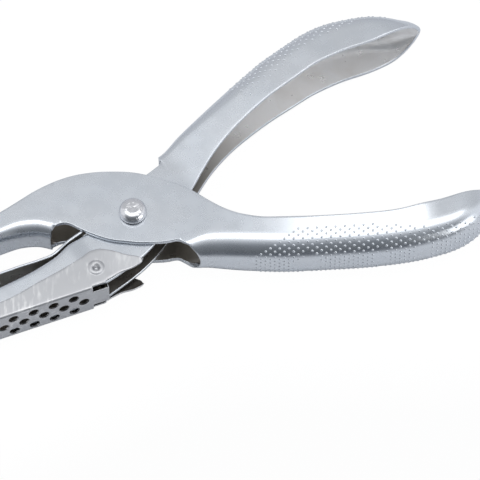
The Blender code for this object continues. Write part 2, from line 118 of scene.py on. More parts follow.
PUNCH_BEND = [(-46.0, 2.2), (-38.0, 2.2), (-28.0, 3.3), (0.0, 3.3), (13.0, 3.6), (20.0, 5.2), (92.0, 5.2)]

DIE_EDGE = [(-49.0, -1.4), (-34.0, -6.2), (-20.0, -10.5), (-16.0, -11.4), (-9.7, -11.3),
            (-2.5, -10.4), (5.2, -8.1), (16.0, -3.2), (20.8, -0.9), (25.6, 1.2), (33.9, 3.7),
            (41.2, 4.9), (51.3, 5.6), (60.8, 5.6), (69.3, 4.5), (79.8, 1.6), (86.0, 0.6), (93.8, 0.2)]
DIE_WEB = [(-49.0, 6.1), (-38.8, 4.2), (-30.3, 2.9), (-23.2, 2.6), (-17.0, 3.5), (-12.0, 3.6),
           (-8.0, 7.0), (0.0, 10.5), (9.0, 11.0), (15.9, 10.3), (23.7, 12.0), (31.2, 13.3),
           (42.1, 14.9), (49.5, 15.7), (53.6, 16.05), (60.3, 16.0), (66.6, 15.8), (72.4, 14.75),
           (77.4, 12.75), (82.2, 10.3), (86.4, 7.3), (88.7, 5.6), (90.8, 3.9), (93.8, 1.4)]
DIE_WIDTH = [(-50.0, DIE_JAW), (-19.0, DIE_JAW), (-14.0, DIE_CHEEK), (16.5, DIE_CHEEK), (22.0, 4.45),
             (34.0, 5.7), (47.4, 7.0), (57.7, 7.6), (66.0, GRIP), (94.0, GRIP)]
DIE_BEND = [(-50.0, 1.5), (-15.0, 1.5), (0.0, 1.5), (16.0, 2.0), (50.0, 4.5), (94.0, 4.5)]

# How far the lower grip's cheeks flare out towards their free edges, per millimetre of height.
GRIP_FLARE = [(-60.0, 0.0), (18.0, 0.0), (27.0, 0.02), (34.0, 0.05), (42.0, 0.11), (50.0, 0.16),
              (71.0, 0.16), (78.0, 0.0), (95.0, 0.0)]

# Lower edge of the punch lever's cheeks round the pivot, as levels, and the rounded ends of the cut.
PUNCH_CUT_LEVELS = [(-19.6, -3.9), (-18.9, -3.3), (-18.0, -3.05), (-17.1, -2.9), (-15.6, -3.25),
                    (-12.4, -5.05), (-8.1, -6.9), (-3.1, -8.1), (2.0, -8.6), (6.5, -8.5), (10.6, -7.85),
                    (12.0, -7.95), (13.4, -8.8)]
STRIP_LINE = [(-47.0, 10.3), (-36.5, 7.3), (-31.2, 5.8), (-26.2, 4.25), (-22.6, 3.5), (-17.0, 4.4),
              (-11.8, 4.5)]
TRAY_EDGE = [(-49.5, -12.9), (-40.2, -12.6), (-36.0, -12.1), (-28.6, -10.4), (-22.8, -9.2),
             (-17.0, -7.75), (-13.3, -6.6), (-11.3, -6.85), (-9.1, -8.1), (-5.4, -11.2), (-3.3, -12.7),
             (-2.75, -13.3), (-2.5, -14.0)]
TRAY_WIDTH = [(-50.0, TRAY_HALF), (-11.0, TRAY_HALF), (-7.0, 5.7), (-1.5, 6.4)]
TRAY_EAR_LEVELS = [(TRAY_REAR, TRAY_FLOOR + 1.0), (-9.1, -15.2), (-3.9, -14.8), (-3.1, -14.65),
                   (-2.7, -14.35), (-2.5, -14.1)]
DIE_CUT_LEVELS = [(-9.0, 3.6), (-4.0, 5.2), (0.0, 6.2), (6.0, 7.1), (11.4, 7.5), (14.0, 7.7)]


# ---------- curves and sections

def smooth_curve(points):
    """Return a function that passes smoothly through (x, y) key points, level where they are level."""
    xs, ys = np.array(points, dtype=float).T
    steps = np.diff(xs)
    slopes = np.diff(ys) / steps
    inner = (steps[1:] * slopes[:-1] + steps[:-1] * slopes[1:]) / (steps[1:] + steps[:-1])
    steepest = 3.0 * np.minimum(abs(slopes[:-1]), abs(slopes[1:]))
    inner = np.where(slopes[:-1] * slopes[1:] > 0.0, np.clip(inner, -steepest, steepest), 0.0)
    tangents = np.concatenate(([slopes[0]], inner, [slopes[-1]]))

    def value(x):
        x = np.asarray(x, dtype=float)
        i = np.clip(np.searchsorted(xs, x) - 1, 0, len(steps) - 1)
        t = (x - xs[i]) / steps[i]
        return ((2 * t**3 - 3 * t**2 + 1) * ys[i] + (t**3 - 2 * t**2 + t) * steps[i] * tangents[i]
                + (3 * t**2 - 2 * t**3) * ys[i + 1] + (t**3 - t**2) * steps[i] * tangents[i + 1])

    return value


def in_frame(tilt):
    """Return a function from (u, n, z) of a frame tilted about the pivot to world metres."""
    cos, sin = math.cos(math.radians(tilt)), math.sin(math.radians(tilt))

    def place(u, n, z):
        return np.stack([u * cos - n * sin, u * sin + n * cos, z + MID_Z], axis=-1) * MM

    return place


class Channel:
    """Outer skin of a U-section stamping.

    q runs over half a section: 0 at the free edge, 1 at the start of the bend, 2 at its end and 3 at the
    middle of the web. side is +1 for the near half (+Z) and -1 for the far half.
    """

    def __init__(self, tilt, edge, web, width, bend, tip, flare=((0.0, 0.0), (1.0, 0.0)),
                 tip_length=TIP_LENGTH):
        self.place = in_frame(tilt)
        self.edge, self.web = smooth_curve(edge), smooth_curve(web)
        self.width, self.bend, self.flare = smooth_curve(width), smooth_curve(bend), smooth_curve(flare)
        self.tip, self.tip_length = tip, tip_length
        middle = np.array(edge)[len(edge) // 2, 0]
        self.up = 1.0 if self.web(middle) > self.edge(middle) else -1.0
        self.forward = 1.0 if tip > middle else -1.0

    def sizes(self, u):
        left = np.clip((self.tip - u) * self.forward, 0.0, self.tip_length)
        pinch = np.sin(left / self.tip_length * math.pi / 2) ** TIP_BLUNTNESS
        cap = np.sqrt(1.0 - (1.0 - np.minimum(left / TIP_CAP, 1.0)) ** 2)
        height = (self.web(u) - self.edge(u)) * self.up * cap
        half = self.width(u) * pinch
        radius = np.minimum(np.minimum(self.bend(u), 0.92 * half), 0.92 * height)
        return height, half, radius

    def point(self, u, q, side):
        height, half, radius = self.sizes(u)
        angle = np.clip(q - 1.0, 0.0, 1.0) * math.pi / 2
        drop = np.clip(q, 0.0, 1.0) * (height - radius) + radius * np.sin(angle)
        z = (half - radius * (1.0 - np.cos(angle))) - np.clip(q - 2.0, 0.0, 1.0) * (half - radius)
        above = np.clip(1.0 - q, 0.0, 1.0) * (height - radius)
        z = z + above * self.flare(u)
        return self.place(u, self.edge(u) + self.up * drop, side * z)

    def q_at_level(self, u, level):
        """Where a cheek or a bend crosses a level."""
        height, _, radius = self.sizes(u)
        drop = (level - self.edge(u)) * self.up
        straight = height - radius
        arc = np.arcsin(np.clip((drop - straight) / radius, 0.0, 1.0)) * 2 / math.pi
        return np.where(drop <= straight, drop / straight, 1.0 + arc)

    def q_from_web(self, u, s):
        """The q that lies an arc length s away from the middle of the web."""
        height, half, radius = self.sizes(u)
        flat, arc = half - radius, radius * math.pi / 2
        on_web = 3.0 - s / flat
        on_bend = 2.0 - (s - flat) / arc
        on_cheek = (height - radius - (s - flat - arc)) / (height - radius)
        return np.where(s <= flat, on_web, np.where(s <= flat + arc, on_bend, on_cheek))


# ---------- mesh helpers

def link(name, data):
    obj = bpy.data.objects.new(name, data)
    bpy.context.collection.objects.link(obj)
    return obj


def mesh_from(name, vertices, faces):
    mesh = bpy.data.meshes.new(name)
    mesh.from_pydata([tuple(v) for v in vertices], [], faces)
    mesh.update()
    return mesh


def apply_modifiers(obj):
    """Replace an object's mesh by its evaluated one."""
    graph = bpy.context.evaluated_depsgraph_get()
    graph.update()
    mesh = bpy.data.meshes.new_from_object(obj.evaluated_get(graph))
    obj.modifiers.clear()
    old, obj.data = obj.data, mesh
    bpy.data.meshes.remove(old)


def face_outwards(obj):
    """Make a closed mesh's normals point outwards."""
    bm = bmesh.new()
    bm.from_mesh(obj.data)
    bmesh.ops.recalc_face_normals(bm, faces=bm.faces)
    bm.to_mesh(obj.data)
    bm.free()


def shade(obj, degrees=35.0):
    """Smooth an object up to an angle, and keep its broad faces flat next to narrow roundings."""
    obj.data.shade_smooth()
    obj.data.set_sharp_from_angle(angle=math.radians(degrees))
    modifier = obj.modifiers.new("normals", "WEIGHTED_NORMAL")
    modifier.keep_sharp = True
    apply_modifiers(obj)


def add_section(channel, us, q, vertices, near, far):
    """Add both halves of a section to the vertices, and their numbers to the near and far grids."""
    for grid, side in ((near, 1.0), (far, -1.0)):
        grid.append(range(len(vertices), len(vertices) + len(q)))
        vertices.extend(channel.point(us, q, side))


def both_quads(near, far, i, j):
    """The near and the far face between rows i and i + 1, and columns j and j + 1."""
    return [(near[i][j], near[i][j + 1], near[i + 1][j + 1], near[i + 1][j]),
            (far[i][j + 1], far[i][j], far[i + 1][j], far[i + 1][j + 1])]


def ring_faces(first, rings, segments):
    """Faces between successive rings of vertices, from vertex number first on."""
    faces = []
    for a in range(first, first + (rings - 1) * segments, segments):
        for k in range(segments):
            m = (k + 1) % segments
            faces.append((a + k, a + m, a + segments + m, a + segments + k))
    return faces


def skin_mesh(name, channel, rows, q_base, retreat):
    """Grid over both halves of a channel. rows holds (u, q_cut): q_cut 3 closes the web, less opens it.

    The column nearest to the cut moves onto it and the columns beyond collapse there. retreat(q) pulls
    the first rows back along the axis, to shape the channel's open end.
    """
    vertices, near, far = [], [], []
    for u, q_cut in rows:
        q = np.array(q_base)
        if q_cut < 3.0:
            q[int(np.argmin(abs(q - q_cut))):] = q_cut
        shift = retreat(q) * max(0.0, 1.0 - abs(u - rows[0][0]) / 6.0) ** 2
        add_section(channel, u + shift, q, vertices, near, far)
    faces = []
    for i in range(len(rows) - 1):
        for j in range(len(q_base) - 1):
            faces += both_quads(near, far, i, j)
    return mesh_from(name, vertices, faces)


def thicken(obj, thickness, flip, holes=(), reach=2.0, fairing=0.0):
    """Turn a skin into a sheet of some thickness with rounded cut edges, and pierce it.

    The skin becomes the sheet's outer face. flip(bm) says if its normals point inwards. A hole is a centre
    in millimetres, a direction and a radius.
    """
    bm = bmesh.new()
    bm.from_mesh(obj.data)
    bmesh.ops.remove_doubles(bm, verts=bm.verts, dist=1e-6)
    bmesh.ops.dissolve_degenerate(bm, edges=bm.edges, dist=1e-6)
    bmesh.ops.delete(bm, geom=[v for v in bm.verts if not v.link_faces], context="VERTS")
    bmesh.ops.recalc_face_normals(bm, faces=bm.faces)
    if flip(bm):
        bmesh.ops.reverse_faces(bm, faces=bm.faces)
    radius = min(EDGE_ROUND, thickness * 0.4)
    fair_rim(bm, fairing)
    bm.normal_update()
    draw_back(bm, radius * MM)
    bm.normal_update()
    vertices, faces, inner = sheet_faces(bm, rim_directions(bm), thickness, radius)
    bm.free()
    mesh = mesh_from(obj.name, vertices, faces)
    for side in SIDES:
        mesh.materials.append(bpy.data.materials.get(side) or bpy.data.materials.new(side))
    for polygon in mesh.polygons[inner[0]:inner[1]]:
        polygon.material_index = 1
    old, obj.data = obj.data, mesh
    bpy.data.meshes.remove(old)
    if holes:
        pierce(obj, holes, reach)


def fair_rim(bm, reach):
    """Smooth the cut edges of a skin up to a distance from the pivot, in millimetres."""
    near = [v for v in bm.verts if v.is_boundary and v.co.xy.length < reach * MM]
    for _ in range(4):
        moves = []
        for vertex in near:
            rim = [e.other_vert(vertex).co for e in vertex.link_edges if e.is_boundary]
            if len(rim) == 2:
                moves.append((vertex, vertex.co * 0.5 + (rim[0] + rim[1]) * 0.25))
        for vertex, co in moves:
            vertex.co = co


def rim_directions(bm):
    """For each vertex on a cut edge, the direction that leads off the sheet, longer at a corner."""
    sums = {}
    for edge in bm.edges:
        if len(edge.link_faces) == 1:
            face = edge.link_faces[0]
            off = (edge.verts[1].co - edge.verts[0].co).cross(face.normal).normalized()
            if off.dot(face.calc_center_median() - edge.verts[0].co) > 0.0:
                off = -off
            for vertex in edge.verts:
                sums[vertex] = sums.get(vertex, Vector()) + off
    directions = {}
    for vertex, total in sums.items():
        directions[vertex] = total / 2.0 / max((total.length / 2.0) ** 2, 0.5)
    return directions


def draw_back(bm, distance):
    """Draw a skin's cut edges back to make room for their rounding, and squeeze the mesh behind them."""
    directions = rim_directions(bm)
    rim = list(directions)
    tree = KDTree(len(rim))
    for i, vertex in enumerate(rim):
        tree.insert(vertex.co, i)
    tree.balance()
    reach = 3.0 * distance
    moves = []
    for vertex in bm.verts:
        _, i, away = tree.find(vertex.co)
        if away < reach:
            moves.append((vertex, directions[rim[i]] * (distance * (1.0 - away / reach))))
    for vertex, move in moves:
        vertex.co -= move


def sheet_faces(bm, directions, thickness, radius):
    """Vertices and faces of a sheet: the skin, its inner side and the rounded rim that joins them."""
    bm.verts.index_update()
    count = len(bm.verts)
    vertices = [v.co.copy() for v in bm.verts] + [v.co - v.normal * thickness * MM for v in bm.verts]
    outer = [[v.index for v in face.verts] for face in bm.faces]
    faces = outer + [[i + count for i in reversed(loop)] for loop in outer]
    turns = [math.radians(a) for a in (30.0, 60.0, 90.0)]
    profile = [(radius * math.sin(a), radius * (1.0 - math.cos(a))) for a in turns]
    profile += [(out, thickness - depth) for out, depth in reversed(profile)]
    rings = {}
    for vertex, off in directions.items():
        rings[vertex.index] = [vertex.index]
        for out, depth in profile:
            rings[vertex.index].append(len(vertices))
            vertices.append(vertex.co + (off * out - vertex.normal * depth) * MM)
        rings[vertex.index].append(vertex.index + count)
    for edge in bm.edges:
        if len(edge.link_faces) == 1:
            loop = edge.link_loops[0]
            start, end = rings[loop.vert.index], rings[loop.link_loop_next.vert.index]
            for k in range(len(start) - 1):
                faces.append([end[k], start[k], start[k + 1], end[k + 1]])
    return vertices, faces, (len(outer), 2 * len(outer))


def pierce(obj, holes, reach):
    """Cut round holes through an object, reach millimetres to each side of their centres."""
    bm = bmesh.new()
    for centre, direction, radius in holes:
        place = axis_matrix(centre, direction)
        bmesh.ops.create_cone(bm, cap_ends=True, segments=36, radius1=radius * MM, radius2=radius * MM,
                              depth=2 * reach * MM, matrix=place)
    mesh = bpy.data.meshes.new("cutter")
    bm.to_mesh(mesh)
    bm.free()
    cutter = link("cutter", mesh)
    modifier = obj.modifiers.new("holes", "BOOLEAN")
    modifier.object = cutter
    modifier.solver = "EXACT"
    apply_modifiers(obj)
    bpy.data.objects.remove(cutter)
    bpy.data.meshes.remove(mesh)


def points_inwards(channel, u):
    """Return a test that says if a skin's faces near u point into the channel."""
    reference = Vector(channel.point(np.array([u]), np.array([0.5]), 1.0)[0])

    def test(bm):
        face = min(bm.faces, key=lambda f: (f.calc_center_median() - reference).length)
        return face.normal.z < 0.0

    return test


def lathe(name, profile, segments=64, matrix=Matrix.Identity(4), wobble=0.0):
    """Turn an (r, h) profile, given in millimetres, about the local Z axis. wobble dents it a little."""
    vertices, rings, faces = [], [], []
    for r, h in profile:
        if r == 0.0:
            rings.append([len(vertices)])
            vertices.append(matrix @ (Vector((0, 0, h)) * MM))
            continue
        ring = []
        for k in range(segments):
            a = 2 * math.pi * k / segments
            p = Vector((r * math.cos(a), r * math.sin(a), h))
            if wobble:
                p += p.normalized() * wobble * noise.noise(p * 1.3)
            ring.append(len(vertices))
            vertices.append(matrix @ (p * MM))
        rings.append(ring)
    for a, b in zip(rings, rings[1:]):
        for k in range(segments):
            m = (k + 1) % segments
            corners = [a[k % len(a)], a[m % len(a)], b[m % len(b)], b[k % len(b)]]
            faces.append(tuple(dict.fromkeys(corners)))
    obj = link(name, mesh_from(name, vertices, faces))
    face_outwards(obj)
    return obj


def axis_matrix(origin, direction):
    """Place a local Z axis at a world point in millimetres, along a direction."""
    turn = Vector(direction).to_track_quat("Z", "Y").to_matrix().to_4x4()
    return Matrix.Translation(Vector(origin) * MM) @ turn


def turned(point, degrees):
    """Turn an (x, y) point about the pivot."""
    angle = math.radians(degrees)
    x, y = point
    return (x * math.cos(angle) - y * math.sin(angle), x * math.sin(angle) + y * math.cos(angle))


def punch_direction():
    return Vector((math.cos(math.radians(PUNCH_ANGLE)), math.sin(math.radians(PUNCH_ANGLE)), 0.0))


def die_normal(u):
    """Direction square to the lower jaw's web at u, and the web's level there."""
    web = smooth_curve(DIE_WEB)
    slope = math.atan(float(web(u + 0.5) - web(u - 0.5)))
    angle = math.radians(DIE_TILT) + slope + math.pi / 2
    return Vector((math.cos(angle), math.sin(angle), 0.0)), float(web(u))


def strip_rivet_hole(u):
    """Centre, direction and radius of the hole that a strip rivet passes through."""
    normal, level = die_normal(u)
    return Vector(in_frame(DIE_TILT)(u, level, 0.0)) / MM, normal, STRIP_RIVET_R + 0.3


# ---------- levers

PUNCH_SKIN = Channel(0.0, PUNCH_EDGE, PUNCH_WEB, PUNCH_WIDTH, PUNCH_BEND, PUNCH_TIP_U, GRIP_FLARE)
DIE_SKIN = Channel(DIE_TILT, DIE_EDGE, DIE_WEB, DIE_WIDTH, DIE_BEND, DIE_TIP_U)

JAW_ROW, GRIP_ROW = 0.7, 0.9        # spacing of a lever's rows


def columns(stops, counts):
    """Even columns from each stop to the next."""
    parts = [np.linspace(a, b, n)[1:] for a, b, n in zip(stops, stops[1:], counts)]
    return np.concatenate([stops[:1], *parts])


def rows_between(start, end, step):
    count = max(2, int(round(abs(end - start) / step)) + 1)
    return [float(u) for u in np.linspace(start, end, count)]


def tip_rows(channel, start, step):
    """Even rows along a handle, then closer ones round its tip, each with a whole web."""
    direction = channel.forward
    turn = channel.tip - direction * channel.tip_length
    rows = rows_between(start, turn, step)
    for a in np.radians(np.linspace(0.0, 90.0, 17))[1:]:
        rows.append(channel.tip - direction * channel.tip_length * (1.0 - math.sin(a)))
    return [(u, 3.0) for u in rows]


def cut_rows(channel, levels, first, last, step=0.3):
    """Rows of the open stretch round the pivot. first and last lead the cut into the web's ends."""
    keys = first + [(u, float(channel.q_at_level(u, n))) for u, n in levels] + last
    curve = smooth_curve(keys)
    rows = []
    for (a, _), (b, _) in zip(keys, keys[1:]):
        rows += list(np.linspace(a, b, max(2, int((b - a) / step) + 1)))[1:]
    return [(float(u), min(float(curve(u)), 2.98)) for u in rows[:-1]]


def lever(name, skin, front, cut, end, sheet, holes, fairing):
    """Pressed lever: a whole web from the jaw's front, open cheeks round the pivot, and a whole grip.

    cut holds the open stretch's levels and the rows that lead into it and out of it. end shapes the jaw's
    front: the rounded corner's share of a cheek and its depth, and how far and by where it leans back.
    """
    levels, first, last = cut
    corner_q, corner_depth, lean, lean_q = end
    rows = [(u, 3.0) for u in rows_between(front, first[0][0], JAW_ROW)]
    rows += cut_rows(skin, levels, first, last)
    rows += tip_rows(skin, last[-1][0], GRIP_ROW)

    def retreat(q):
        corner = np.clip(1.0 - q / corner_q, 0.0, 1.0)
        rounded = 1.0 - np.sqrt(1.0 - np.minimum(corner, 0.999) ** 2)
        return corner_depth * rounded + lean * np.clip(q / lean_q, 0.0, 1.0)

    q_base = columns((0.0, 1.0, 2.0, 3.0), (9, 11, 7))
    obj = link(name, skin_mesh(name, skin, rows, q_base, retreat))
    thicken(obj, sheet, points_inwards(skin, 5.0), holes, fairing=fairing)
    shade(obj)
    return obj


def make_punch_lever():
    first = [(-20.75, 3.0), (-20.65, 2.3), (-20.45, 1.75), (-20.0, 1.2)]
    last = [(14.8, 1.42), (16.2, 1.75), (17.0, 2.3), (17.3, 3.0)]
    seat = Vector((*PUNCH_TIP, MID_Z)) + punch_direction() * (PUNCH_LENGTH + 0.8)
    holes = [(seat, punch_direction(), PUNCH_NECK_R + 0.3)]
    holes += [((0.0, 0.0, MID_Z + z), (0.0, 0.0, 1.0), SHANK_R + 0.3) for z in (PUNCH_CHEEK, -PUNCH_CHEEK)]
    return lever("punch_lever_skin", PUNCH_SKIN, -44.3, (PUNCH_CUT_LEVELS, first, last),
                 (0.35, 1.6, 1.2, 3.0), PUNCH_SHEET, holes, 26.0)


def make_die_lever():
    first = [(-12.3, 3.0), (-12.2, 2.2), (-12.0, 1.6), (-11.3, 1.0)]
    last = [(15.0, 0.95), (15.5, 1.3), (15.8, 2.0), (15.9, 3.0)]
    u = turned(turned(PUNCH_TIP, DIE_ENTRY), -DIE_TILT)[0]
    normal, level = die_normal(u)
    holes = [(Vector(DIE_SKIN.place(u, level, 0.0)) / MM, normal, DIE_HOLE_R)]
    holes += [strip_rivet_hole(u) for u in STRIP_RIVET_U]
    for z in (DIE_CHEEK, -DIE_CHEEK):
        holes.append(((0.0, 0.0, MID_Z + z), (0.0, 0.0, 1.0), SHANK_R + 0.3))
        holes.append(((*TRAY_HINGE, MID_Z + z), (0.0, 0.0, 1.0), 1.9))
    return lever("die_lever_skin", DIE_SKIN, -48.0, (DIE_CUT_LEVELS, first, last),
                 (0.3, 1.2, 2.4, 2.0), SHEET, holes, 20.0)


# ---------- embossed grip dots

DOT_PITCH = 2.33            # along the handle
DOT_ROW = 0.86              # between rows, measured round the section
DOT_R = 0.34
DOT_RISE = 0.17
DOT_RINGS = ((1.0, -0.12), (0.93, 0.1), (0.72, 0.55), (0.4, 0.88))  # shares of a dot's radius and rise


def grip_dots():
    """Each grip's dots, as (name, skin, body, [(u, s)]): s is the distance round from the web's middle."""
    blanks = ((44.2, 4.0), (62.4, 1.9), (72.8, 2.6))
    punch = []
    for u, s in dot_grid(31.0, 89.0):
        start = 30.8 + max(0.0, s - 3.5) * 1.25
        end = 11.6 - max(0.0, u - 60.0) * 0.2
        blank = any(abs(u - middle) < half * (1.0 - s / 4.4) + 0.3 for middle, half in blanks)
        if u > start and s < end and not blank:
            punch.append((u, s))
    die = []
    for u, s in dot_grid(41.0, 87.0):
        band = 4.0 < s < 11.8 - 0.045 * (u - 44.0) - max(0.0, u - 74.0) * 0.25
        if band and u > 39.5 + s * 0.35:
            die.append((u, s))
    return (("punch_grip_dots", PUNCH_SKIN, PUNCH, punch), ("die_grip_dots", DIE_SKIN, DIE, die))


def dot_grid(start, end):
    """Staggered rows over half a section, from the middle of the web up into the cheek."""
    for row in range(15):
        first = start + (row % 2) * DOT_PITCH / 2
        for k in range(int((end - first) / DOT_PITCH) + 1):
            yield first + k * DOT_PITCH, row * DOT_ROW


def make_dots(name, skin, rows, segments=10):
    """One mesh of small pressed domes, standing on both halves of a lever's outer skin."""
    vertices, faces = [], []
    step = 0.05
    for u, s in rows:
        for side in ((1.0, -1.0) if s > 0.0 else (1.0,)):
            point = Vector(skin.point(u, skin.q_from_web(u, s), side))
            along = Vector(skin.point(u + step, skin.q_from_web(u + step, s), side)) - point
            across = Vector(skin.point(u, skin.q_from_web(u, s + step), side)) - point
            out = along.cross(across).normalized()
            if out.dot(point - Vector(skin.place(u, skin.edge(u), 0.0))) < 0.0:
                out = -out
            along.normalize()
            across = out.cross(along)
            size = 1.0 + 0.12 * noise.noise(point / MM * 0.9)
            first = len(vertices)
            for share, rise in DOT_RINGS:
                for k in range(segments):
                    a = 2 * math.pi * k / segments
                    ring = (along * math.cos(a) + across * math.sin(a)) * DOT_R * share * size * MM
                    vertices.append(point + ring + out * rise * DOT_RISE * size * MM)
            vertices.append(point + out * DOT_RISE * size * MM)
            faces += ring_faces(first, len(DOT_RINGS), segments)
            top = first + (len(DOT_RINGS) - 1) * segments
            for k in range(segments):
                faces.append((top + k, top + (k + 1) % segments, len(vertices) - 1))
            faces.append(tuple(first + k for k in reversed(range(segments))))
    obj = link(name, mesh_from(name, vertices, faces))
    face_outwards(obj)
    shade(obj, 70.0)
    return obj


# ---------- chip tray

def dimple_height(r):
    """Outward rise of the snap dimple's raised ring and its central pit, r from its centre."""
    rise = smooth_curve([(0.0, -0.75), (0.35, -0.7), (0.75, -0.1), (1.15, 0.3), (1.55, 0.28), (2.15, 0.0)])
    return float(rise(r)) if r < 2.15 else 0.0


def press_dimples(obj):
    """Refine both walls round the hinge line and press the dimples into them."""
    centre = Vector((*TRAY_HINGE, 0.0)) * MM
    for sign in (1.0, -1.0):
        bm = bmesh.new()
        bm.from_mesh(obj.data)

        def near_dimple(point):
            return sign * (point.z - MID_Z * MM) > 0.0 and (point.xy - centre.xy).length < 3.0 * MM

        for cuts in (3, 1):
            edges = {e for f in bm.faces if near_dimple(f.calc_center_median()) for e in f.edges}
            bmesh.ops.subdivide_edges(bm, edges=list(edges), cuts=cuts, use_grid_fill=True)
        for vert in bm.verts:
            if near_dimple(vert.co):
                r = (vert.co.xy - centre.xy).length / MM
                vert.co.z += sign * dimple_height(r) * MM
        bm.to_mesh(obj.data)
        bm.free()


def make_chip_tray():
    skin = Channel(TRAY_TILT, TRAY_EDGE, [(-50.0, TRAY_FLOOR), (0.0, TRAY_FLOOR)], TRAY_WIDTH,
                   [(-50.0, 0.6), (0.0, 0.6)], TRAY_FRONT, tip_length=3.0)
    tongue = 3.0 - TONGUE_HALF / (TRAY_HALF - 1.0)
    q_base = columns((0.0, 1.0, 2.0, tongue, 3.0), (12, 6, 3, 5))
    rows = [u for u, _ in reversed(tip_rows(skin, NOTCH_FRONT, 0.8))]
    rows += rows_between(NOTCH_FRONT, TRAY_REAR, 0.55)[1:]
    last_solid = len(rows) - 1
    ear_curve = smooth_curve([(u, float(skin.q_at_level(u, n))) for u, n in TRAY_EAR_LEVELS])
    rows += rows_between(TRAY_REAR, -3.0, 0.5)[1:] + [-2.85, -2.7, -2.6, -2.52]

    vertices, near, far = [], [], []
    for i, u in enumerate(rows):
        q = q_base if i < last_solid else np.where(q_base > 1.0, q_base, q_base * ear_curve(u))
        add_section(skin, u + np.zeros(len(q)), q, vertices, near, far)

    faces = []
    for i in range(len(rows) - 1):
        u = 0.5 * (rows[i] + rows[i + 1])
        for j in range(len(q_base) - 1):
            q = 0.5 * (q_base[j] + q_base[j + 1])
            in_notch = NOTCH_FRONT < u < TRAY_REAR and 1.0 < q < tongue
            behind = u > TRAY_REAR and q > 1.0
            if not (in_notch or behind):
                faces += both_quads(near, far, i, j)

    # The lip turned up at the end of the tongue.
    first = int(np.searchsorted(q_base, tongue - 1e-6))
    for grid, side in ((near, 1.0), (far, -1.0)):
        previous = grid[last_solid][first:]
        zs = [side * (TRAY_HALF - 1.0) * (3.0 - q) for q in q_base[first:]]
        for along, up in ((0.25, 0.07), (0.43, 0.25), (0.5, 0.5), (0.55, LIP_HEIGHT)):
            start = len(vertices)
            vertices.extend(skin.place(TRAY_REAR + along, TRAY_FLOOR + up, z) for z in zs)
            current = range(start, start + len(zs))
            for j in range(len(zs) - 1):
                face = (previous[j], previous[j + 1], current[j + 1], current[j])
                faces.append(face if side > 0 else face[::-1])
            previous = current

    obj = link("chip_tray_skin", mesh_from("chip_tray_skin", vertices, faces))
    press_dimples(obj)
    thicken(obj, TRAY_SHEET, points_inwards(skin, -25.0), tray_holes(skin), 1.5)
    shade(obj, 40.0)
    return obj


def tray_holes(skin):
    """Centres and directions of the chip tray's three staggered rows of holes."""
    up = Vector(skin.place(0.0, 1.0, 0.0) - skin.place(0.0, 0.0, 0.0)).normalized()
    holes = []
    for row, z in ((0, HOLE_ROW_Z), (1, 0.0), (0, -HOLE_ROW_Z)):
        for k in range(5 + row):
            u = HOLE_FIRST + row * HOLE_PITCH / 2 - k * HOLE_PITCH
            holes.append((Vector(skin.place(u, TRAY_FLOOR, z)) / MM, up, HOLE_R))
    return holes


# ---------- pivot, punch and strip

PIVOT = axis_matrix((0, 0, MID_Z), (0, 0, 1))


def make_pivot_rivet():
    """Both heads and the shank. Each head is a hammered dome with a flat, slightly dished top."""
    top, seat = GRIP, RIVET_SEAT
    head = [(0.0, top - 0.06), (0.9, top - 0.04), (1.5, top - 0.01), (1.78, top), (1.9, top - 0.06)]
    for angle in np.radians(np.linspace(12.0, 82.0, 9)):
        head.append((1.9 + 1.6 * math.sin(angle), seat + 0.35 + (top - seat - 0.45) * math.cos(angle)))
    head += [(3.5, seat + 0.3), (3.46, seat + 0.08), (3.36, seat), (SHANK_R, seat)]
    profile = head + [(r, -h) for r, h in reversed(head)]
    obj = lathe("pivot_rivet_hammered", profile, 72, PIVOT, wobble=0.05)
    shade(obj, 32.0)
    return obj


def make_pivot_bushing():
    half = DIE_CHEEK - SHEET - 0.3
    inner, outer, chamfer = SHANK_R + 0.3, BUSHING_R, 0.15
    profile = [(inner, -half), (outer - chamfer, -half), (outer, -half + chamfer), (outer, half - chamfer),
               (outer - chamfer, half), (inner, half), (inner, -half)]
    obj = lathe("pivot_bushing_turned", profile, 48, PIVOT)
    shade(obj)
    return obj


def make_punch_pin():
    """Punch with a hollow-ground cutting end, a ground barrel, a shoulder, and a riveted head on top."""
    r, length = PUNCH_R, PUNCH_LENGTH
    neck_top = length + SHEET + 1.05
    profile = [(0.0, 0.9), (0.9, 0.85), (1.9, 0.55), (2.6, 0.14), (2.88, 0.0), (r, 0.1), (r, 2.2),
               (r - 0.08, 2.35), (r - 0.08, length - 2.2), (r, length - 2.0), (r, length - 0.75),
               (r - 0.2, length - 0.52), (PUNCH_NECK_R, length - 0.48), (PUNCH_NECK_R, neck_top),
               (r - 0.12, neck_top), (r, neck_top + 0.12), (r - 0.15, neck_top + 0.5),
               (r - 0.7, neck_top + 0.82), (1.2, neck_top + 0.95), (0.0, neck_top + 0.97)]
    obj = lathe("punch_pin_ground", profile, 56, axis_matrix((*PUNCH_TIP, MID_Z), punch_direction()))
    shade(obj, 30.0)
    return obj


def make_strip_rivet(name, u):
    top = STRIP_SHEET + 0.75
    bottom = -SHEET - 0.3
    profile = [(0.0, top + 0.34), (0.6, top + 0.32), (0.95, top + 0.24), (1.2, top + 0.1),
               (1.25, top + 0.03), (1.21, top), (STRIP_RIVET_R, top), (STRIP_RIVET_R, bottom),
               (1.32, bottom), (1.38, bottom - 0.08),
               (1.25, bottom - 0.35), (0.9, bottom - 0.55), (0.0, bottom - 0.58)]
    obj = lathe(name, profile, 32, axis_matrix(*strip_rivet_hole(u)[:2]), wobble=0.03)
    shade(obj, 32.0)
    return obj


def strip_half_width(u):
    """Half-width of the stripper strip: it narrows to pass between the punch lever's cheeks."""
    return float(np.interp(u, (-20.9, -18.0), (STRIP_HALF, DIE_CHEEK)))


